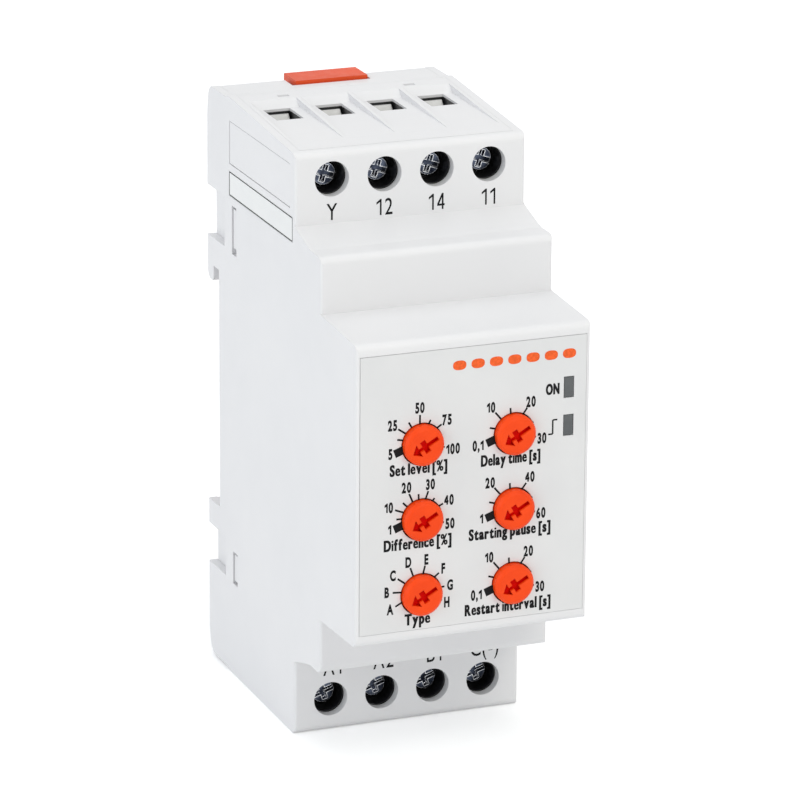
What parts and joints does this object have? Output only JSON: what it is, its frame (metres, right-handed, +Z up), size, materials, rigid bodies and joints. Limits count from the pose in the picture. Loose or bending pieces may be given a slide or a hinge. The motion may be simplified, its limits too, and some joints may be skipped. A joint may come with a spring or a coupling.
{
  "type": "rail-mounted control relay",
  "caption": "Rail-mounted monitoring relay with adjuster dials, screw clamp terminals at both ends, indicator windows and a sliding rail clip.",
  "frame": {"origin": "middle of the base outline in X and Y, on the lower end face", "axes": "+Z up along the height, -Y towards the dial panel, +X to the right seen from the front"},
  "size_m": [0.0358, 0.0644, 0.0912],
  "materials": {
    "white_housing": "fine satin moulding",
    "black_carrier": "satin",
    "screw_steel": "zinc plated, blued",
    "cage_plating": "bright zinc plated",
    "contact_copper": "tinned copper alloy",
    "panel_sheet": "matt printed sheet",
    "label_sheet": "satin foil",
    "smoke_guide": "smoked clear",
    "orange_knob": "satin",
    "trimmer_blue": "moulded",
    "lamp_resin": "clear resin",
    "board_green": "solder resist",
    "relay_black": "moulded",
    "relay_case": "smooth",
    "winding": "enamelled wire and tape",
    "soft_iron": "plain",
    "can_sleeve": "sleeve",
    "orange_clip": "satin",
    "spring_steel": "drawn wire"
  },
  "bodies": {
    "housing": {"housing_shell": "white_housing", "rear_base": "white_housing", "terminal_cover_top": "white_housing", "terminal_cover_bottom": "white_housing", "terminal_block_top": "black_carrier", "terminal_block_bottom": "black_carrier", "dial_panel": "panel_sheet", "light_guide": "smoke_guide", "side_label": "label_sheet", "contact_bars_top": "contact_copper", "contact_bars_bottom": "contact_copper", "trimmer_level": "trimmer_blue", "trimmer_trip": "trimmer_blue", "trimmer_hysteresis": "trimmer_blue", "trimmer_inhibit": "trimmer_blue", "trimmer_mode": "trimmer_blue", "trimmer_reset": "trimmer_blue", "led_power": "lamp_resin", "led_output": "lamp_resin", "front_board": "board_green", "main_board": "board_green", "link_board": "board_green", "relay_base": "relay_black", "relay_coil": "winding", "relay_yoke": "soft_iron", "relay_contacts": "contact_copper", "relay_cover": "relay_case", "transformer_core": "soft_iron", "transformer_coil": "winding", "capacitor": "can_sleeve", "clip_spring": "spring_steel"},
    "clip": {"rail_clip": "orange_clip"},
    "armature": {"relay_armature": "soft_iron", "relay_spring": "contact_copper"},
    "screw_t1": {"terminal_screw_t1": "screw_steel"},
    "cage_t1": {"clamp_cage_t1": "cage_plating"},
    "screw_t2": {"terminal_screw_t2": "screw_steel"},
    "cage_t2": {"clamp_cage_t2": "cage_plating"},
    "screw_t3": {"terminal_screw_t3": "screw_steel"},
    "cage_t3": {"clamp_cage_t3": "cage_plating"},
    "screw_t4": {"terminal_screw_t4": "screw_steel"},
    "cage_t4": {"clamp_cage_t4": "cage_plating"},
    "screw_b1": {"terminal_screw_b1": "screw_steel"},
    "cage_b1": {"clamp_cage_b1": "cage_plating"},
    "screw_b2": {"terminal_screw_b2": "screw_steel"},
    "cage_b2": {"clamp_cage_b2": "cage_plating"},
    "screw_b3": {"terminal_screw_b3": "screw_steel"},
    "cage_b3": {"clamp_cage_b3": "cage_plating"},
    "screw_b4": {"terminal_screw_b4": "screw_steel"},
    "cage_b4": {"clamp_cage_b4": "cage_plating"},
    "dial_level": {"knob_level": "orange_knob"},
    "dial_trip": {"knob_trip": "orange_knob"},
    "dial_hysteresis": {"knob_hysteresis": "orange_knob"},
    "dial_inhibit": {"knob_inhibit": "orange_knob"},
    "dial_mode": {"knob_mode": "orange_knob"},
    "dial_reset": {"knob_reset": "orange_knob"}
  },
  "joints": [
    {"name": "clip_release", "type": "slide", "parent": "housing", "child": "clip", "axis": [0, 0, -1], "range_m": [0, 0.0024], "stiffness_N_per_m": 2000, "springref_m": -0.0012, "deforming": ["clip_spring"]},
    {"name": "relay_pull_in", "type": "hinge", "parent": "housing", "child": "armature", "pos_m": [-0.0066, 0.00615, 0.067], "axis": [1, 0, 0], "range_deg": [-3.6, 0], "stiffness_Nm_per_rad": 0.004, "springref_deg": 2.86},
    {"name": "screw_turn_t1", "type": "hinge", "parent": "housing", "child": "screw_t1", "pos_m": [-0.01219, -0.0018, 0.085], "axis": [0, 1, 0], "range_deg": [0, 2162]},
    {"name": "cage_lift_t1", "type": "slide", "parent": "housing", "child": "cage_t1", "axis": [0, -1, 0], "range_m": [0, 0.003]},
    {"name": "screw_turn_t2", "type": "hinge", "parent": "housing", "child": "screw_t2", "pos_m": [-0.00407, -0.0018, 0.085], "axis": [0, 1, 0], "range_deg": [0, 2162]},
    {"name": "cage_lift_t2", "type": "slide", "parent": "housing", "child": "cage_t2", "axis": [0, -1, 0], "range_m": [0, 0.003]},
    {"name": "screw_turn_t3", "type": "hinge", "parent": "housing", "child": "screw_t3", "pos_m": [0.00407, -0.0018, 0.085], "axis": [0, 1, 0], "range_deg": [0, 2162]},
    {"name": "cage_lift_t3", "type": "slide", "parent": "housing", "child": "cage_t3", "axis": [0, -1, 0], "range_m": [0, 0.003]},
    {"name": "screw_turn_t4", "type": "hinge", "parent": "housing", "child": "screw_t4", "pos_m": [0.01219, -0.0018, 0.085], "axis": [0, 1, 0], "range_deg": [0, 2162]},
    {"name": "cage_lift_t4", "type": "slide", "parent": "housing", "child": "cage_t4", "axis": [0, -1, 0], "range_m": [0, 0.003]},
    {"name": "screw_turn_b1", "type": "hinge", "parent": "housing", "child": "screw_b1", "pos_m": [-0.01219, -0.0018, 0.005], "axis": [0, 1, 0], "range_deg": [0, 2162]},
    {"name": "cage_lift_b1", "type": "slide", "parent": "housing", "child": "cage_b1", "axis": [0, -1, 0], "range_m": [0, 0.003]},
    {"name": "screw_turn_b2", "type": "hinge", "parent": "housing", "child": "screw_b2", "pos_m": [-0.00407, -0.0018, 0.005], "axis": [0, 1, 0], "range_deg": [0, 2162]},
    {"name": "cage_lift_b2", "type": "slide", "parent": "housing", "child": "cage_b2", "axis": [0, -1, 0], "range_m": [0, 0.003]},
    {"name": "screw_turn_b3", "type": "hinge", "parent": "housing", "child": "screw_b3", "pos_m": [0.00407, -0.0018, 0.005], "axis": [0, 1, 0], "range_deg": [0, 2162]},
    {"name": "cage_lift_b3", "type": "slide", "parent": "housing", "child": "cage_b3", "axis": [0, -1, 0], "range_m": [0, 0.003]},
    {"name": "screw_turn_b4", "type": "hinge", "parent": "housing", "child": "screw_b4", "pos_m": [0.01219, -0.0018, 0.005], "axis": [0, 1, 0], "range_deg": [0, 2162]},
    {"name": "cage_lift_b4", "type": "slide", "parent": "housing", "child": "cage_b4", "axis": [0, -1, 0], "range_m": [0, 0.003]},
    {"name": "level_set", "type": "hinge", "parent": "housing", "child": "dial_level", "pos_m": [-0.00785, -0.0278, 0.0521], "axis": [0, 1, 0], "range_deg": [0, 240]},
    {"name": "trip_set", "type": "hinge", "parent": "housing", "child": "dial_trip", "pos_m": [0.00625, -0.0278, 0.0521], "axis": [0, 1, 0], "range_deg": [0, 240]},
    {"name": "hysteresis_set", "type": "hinge", "parent": "housing", "child": "dial_hysteresis", "pos_m": [-0.00785, -0.0278, 0.0408], "axis": [0, 1, 0], "range_deg": [0, 240]},
    {"name": "inhibit_set", "type": "hinge", "parent": "housing", "child": "dial_inhibit", "pos_m": [0.00625, -0.0278, 0.0408], "axis": [0, 1, 0], "range_deg": [0, 240]},
    {"name": "mode_set", "type": "hinge", "parent": "housing", "child": "dial_mode", "pos_m": [-0.00785, -0.0278, 0.0295], "axis": [0, 1, 0], "range_deg": [0, 240]},
    {"name": "reset_set", "type": "hinge", "parent": "housing", "child": "dial_reset", "pos_m": [0.00625, -0.0278, 0.0295], "axis": [0, 1, 0], "range_deg": [0, 240]}
  ],
  "couplings": [
    {"joint": "screw_turn_t1", "follows": "cage_lift_t1", "rad_per_m": 12566},
    {"joint": "screw_turn_t2", "follows": "cage_lift_t2", "rad_per_m": 12566},
    {"joint": "screw_turn_t3", "follows": "cage_lift_t3", "rad_per_m": 12566},
    {"joint": "screw_turn_t4", "follows": "cage_lift_t4", "rad_per_m": 12566},
    {"joint": "screw_turn_b1", "follows": "cage_lift_b1", "rad_per_m": 12566},
    {"joint": "screw_turn_b2", "follows": "cage_lift_b2", "rad_per_m": 12566},
    {"joint": "screw_turn_b3", "follows": "cage_lift_b3", "rad_per_m": 12566},
    {"joint": "screw_turn_b4", "follows": "cage_lift_b4", "rad_per_m": 12566}
  ]
}
